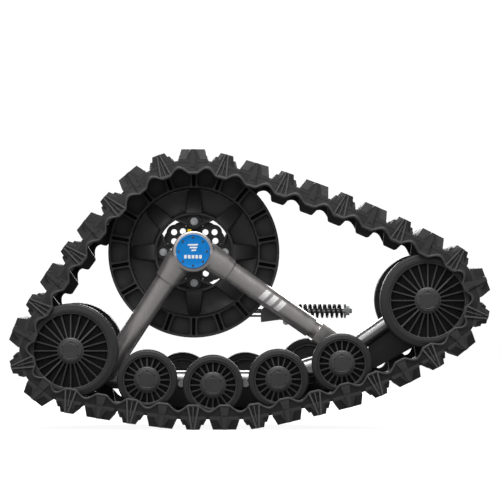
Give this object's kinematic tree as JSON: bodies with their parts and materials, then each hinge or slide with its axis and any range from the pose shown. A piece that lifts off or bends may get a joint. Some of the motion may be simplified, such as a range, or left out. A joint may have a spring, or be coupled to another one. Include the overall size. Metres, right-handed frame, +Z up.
{
  "type": "rubber track unit",
  "caption": "Off-road rubber track unit that replaces a wheel: toothed drive sprocket, strut frame, spoked idlers and rollers inside a lugged belt.",
  "frame": {"origin": "on the drive axis, in the face of the hub plate that bolts to the vehicle's wheel hub", "axes": "+Y along the drive axis towards the vehicle, +Z up, +X towards the raised rear idlers"},
  "size_m": [1.1234, 0.3174, 0.6549],
  "materials": {
    "track_rubber": "matte moulded rubber",
    "tyre_rubber": "matte rubber",
    "wheel_plastic": "moulded nylon",
    "sprocket_plastic": "satin moulded polyethylene",
    "slide_plastic": "satin polyethylene",
    "frame_metal": "warm grey metallic powder coat",
    "cap_blue": "bright blue",
    "cap_yellow": "yellow",
    "black_steel": "black coated steel",
    "dark_steel": "dark screw heads",
    "zinc_steel": "zinc plated"
  },
  "bodies": {
    "frame": {"hub_knuckle": "frame_metal", "hub_cap": "cap_blue", "hub_cap_screws": "dark_steel", "hub_bearings": "zinc_steel", "grease_cap": "cap_yellow", "front_strut": "frame_metal", "rear_strut": "frame_metal", "rear_strut_foot": "frame_metal", "undercarriage_rail": "frame_metal", "front_axle_sleeve": "frame_metal", "slide_rail": "slide_plastic", "front_idler_axle": "zinc_steel", "outer_roller_axles": "zinc_steel", "inner_roller_axles": "zinc_steel", "wheel_bearings": "zinc_steel", "wheel_bolts": "zinc_steel", "stabilizer_bracket": "black_steel", "bracket_bolt": "zinc_steel", "track_carcass": "track_rubber", "tread_lugs_wide": "track_rubber", "tread_lugs_narrow": "track_rubber", "drive_lugs": "track_rubber"},
    "sprocket": {"drive_sprocket": "sprocket_plastic", "hub_plate": "black_steel", "spindle": "zinc_steel", "spindle_nut": "zinc_steel", "sprocket_bolts": "zinc_steel"},
    "tensioner": {"tension_arm": "frame_metal", "rear_idler_axle": "zinc_steel", "rear_slide_plate": "slide_plastic", "rear_idler_bearings": "zinc_steel", "rear_idler_bolts": "zinc_steel"},
    "stabilizer": {"stabilizer_rod": "zinc_steel", "stabilizer_eye": "zinc_steel", "rod_nut": "zinc_steel", "stabilizer_spring": "black_steel"},
    "front_idler_outer": {"front_idler_outer_tyre": "tyre_rubber", "front_idler_outer_wheel": "wheel_plastic"},
    "front_idler_inner": {"front_idler_inner_tyre": "tyre_rubber", "front_idler_inner_wheel": "wheel_plastic"},
    "rear_idler_outer": {"rear_idler_outer_tyre": "tyre_rubber", "rear_idler_outer_wheel": "wheel_plastic"},
    "rear_idler_inner": {"rear_idler_inner_tyre": "tyre_rubber", "rear_idler_inner_wheel": "wheel_plastic"},
    "outer_roller_1": {"outer_roller_1_tyre": "tyre_rubber", "outer_roller_1_wheel": "wheel_plastic"},
    "outer_roller_2": {"outer_roller_2_tyre": "tyre_rubber", "outer_roller_2_wheel": "wheel_plastic"},
    "outer_roller_3": {"outer_roller_3_tyre": "tyre_rubber", "outer_roller_3_wheel": "wheel_plastic"},
    "outer_roller_4": {"outer_roller_4_tyre": "tyre_rubber", "outer_roller_4_wheel": "wheel_plastic"},
    "inner_roller_1": {"inner_roller_1_tyre": "tyre_rubber", "inner_roller_1_wheel": "wheel_plastic"},
    "inner_roller_2": {"inner_roller_2_tyre": "tyre_rubber", "inner_roller_2_wheel": "wheel_plastic"},
    "inner_roller_3": {"inner_roller_3_tyre": "tyre_rubber", "inner_roller_3_wheel": "wheel_plastic"}
  },
  "joints": [
    {"name": "sprocket_spin", "type": "hinge", "parent": "frame", "child": "sprocket", "pos_m": [0, 0, 0], "axis": [0, -1, 0], "continuous": true},
    {"name": "tensioner_slide", "type": "slide", "parent": "frame", "child": "tensioner", "axis": [0.8151, 0, 0.5793], "range_m": [-0.008, 0]},
    {"name": "stabilizer_slide", "type": "slide", "parent": "frame", "child": "stabilizer", "axis": [1, 0, 0], "range_m": [-0.012, 0.012], "stiffness_N_per_m": 8000, "deforming": ["stabilizer_spring"]},
    {"name": "front_idler_outer_spin", "type": "hinge", "parent": "frame", "child": "front_idler_outer", "pos_m": [-0.2852, -0.156, -0.2316], "axis": [0, -1, 0], "continuous": true},
    {"name": "front_idler_inner_spin", "type": "hinge", "parent": "frame", "child": "front_idler_inner", "pos_m": [-0.2852, 0.09, -0.2316], "axis": [0, -1, 0], "continuous": true},
    {"name": "rear_idler_outer_spin", "type": "hinge", "parent": "tensioner", "child": "rear_idler_outer", "pos_m": [0.5476, -0.156, -0.1144], "axis": [0, -1, 0], "continuous": true},
    {"name": "rear_idler_inner_spin", "type": "hinge", "parent": "tensioner", "child": "rear_idler_inner", "pos_m": [0.5476, 0.09, -0.1144], "axis": [0, -1, 0], "continuous": true},
    {"name": "outer_roller_1_spin", "type": "hinge", "parent": "frame", "child": "outer_roller_1", "pos_m": [-0.1071, -0.156, -0.2992], "axis": [0, -1, 0], "continuous": true},
    {"name": "outer_roller_2_spin", "type": "hinge", "parent": "frame", "child": "outer_roller_2", "pos_m": [0.0464, -0.156, -0.3117], "axis": [0, -1, 0], "continuous": true},
    {"name": "outer_roller_3_spin", "type": "hinge", "parent": "frame", "child": "outer_roller_3", "pos_m": [0.1992, -0.156, -0.2978], "axis": [0, -1, 0], "continuous": true},
    {"name": "outer_roller_4_spin", "type": "hinge", "parent": "frame", "child": "outer_roller_4", "pos_m": [0.3473, -0.156, -0.2614], "axis": [0, -1, 0], "continuous": true},
    {"name": "inner_roller_1_spin", "type": "hinge", "parent": "frame", "child": "inner_roller_1", "pos_m": [-0.0293, 0.09, -0.3115], "axis": [0, -1, 0], "continuous": true},
    {"name": "inner_roller_2_spin", "type": "hinge", "parent": "frame", "child": "inner_roller_2", "pos_m": [0.1229, 0.09, -0.3115], "axis": [0, -1, 0], "continuous": true},
    {"name": "inner_roller_3_spin", "type": "hinge", "parent": "frame", "child": "inner_roller_3", "pos_m": [0.276, 0.09, -0.2774], "axis": [0, -1, 0], "continuous": true}
  ],
  "couplings": [
    {"joint": "front_idler_outer_spin", "follows": "sprocket_spin", "ratio": 1.8261},
    {"joint": "front_idler_inner_spin", "follows": "sprocket_spin", "ratio": 1.8261},
    {"joint": "rear_idler_outer_spin", "follows": "sprocket_spin", "ratio": 1.7949},
    {"joint": "rear_idler_inner_spin", "follows": "sprocket_spin", "ratio": 1.7949},
    {"joint": "outer_roller_1_spin", "follows": "sprocket_spin", "ratio": 2.8},
    {"joint": "outer_roller_2_spin", "follows": "sprocket_spin", "ratio": 2.8},
    {"joint": "outer_roller_3_spin", "follows": "sprocket_spin", "ratio": 2.8},
    {"joint": "outer_roller_4_spin", "follows": "sprocket_spin", "ratio": 2.8},
    {"joint": "inner_roller_1_spin", "follows": "sprocket_spin", "ratio": 2.8},
    {"joint": "inner_roller_2_spin", "follows": "sprocket_spin", "ratio": 2.8},
    {"joint": "inner_roller_3_spin", "follows": "sprocket_spin", "ratio": 2.8}
  ]
}
